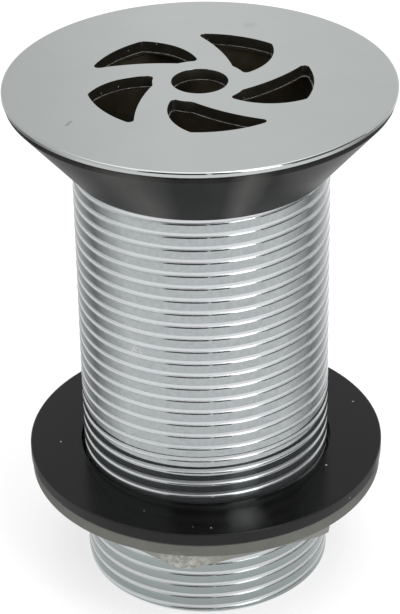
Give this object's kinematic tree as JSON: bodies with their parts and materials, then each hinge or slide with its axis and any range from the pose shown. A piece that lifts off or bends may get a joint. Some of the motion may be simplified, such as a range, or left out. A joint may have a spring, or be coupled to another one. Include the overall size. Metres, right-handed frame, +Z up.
{
  "type": "basin waste",
  "caption": "Chrome basin waste: round flange with a swirl grate on a threaded tail, with a cone seal under the flange and a washer and flanged hexagon nut on the thread.",
  "frame": {"origin": "centre of the tail's lower end, on the surface that the waste stands on", "axes": "+Z up the tail's axis to the flange; the camera of the picture looks along +Y"},
  "size_m": [0.0627, 0.0626, 0.0895],
  "materials": {
    "chrome_plate": "bright chrome plate on brass",
    "seal_rubber": "smooth black rubber, slight sheen",
    "washer_rubber": "smooth black rubber, slight sheen",
    "cast_nut": "dull grey die-cast metal"
  },
  "bodies": {
    "waste": {"waste_body": "chrome_plate", "flange_seal": "seal_rubber"},
    "washer": {"back_washer": "washer_rubber"},
    "nut": {"back_nut": "cast_nut"}
  },
  "joints": [
    {"name": "nut_travel", "type": "slide", "parent": "waste", "child": "washer", "axis": [0, 0, 1], "range_m": [-0.0116, 0.052]},
    {"name": "nut_turn", "type": "hinge", "parent": "washer", "child": "nut", "pos_m": [0, 0, 0.017], "axis": [0, 0, 1], "range_deg": [-1800, 8100]}
  ],
  "couplings": [
    {"joint": "nut_travel", "follows": "nut_turn", "m_per_rad": 0.0003675}
  ]
}
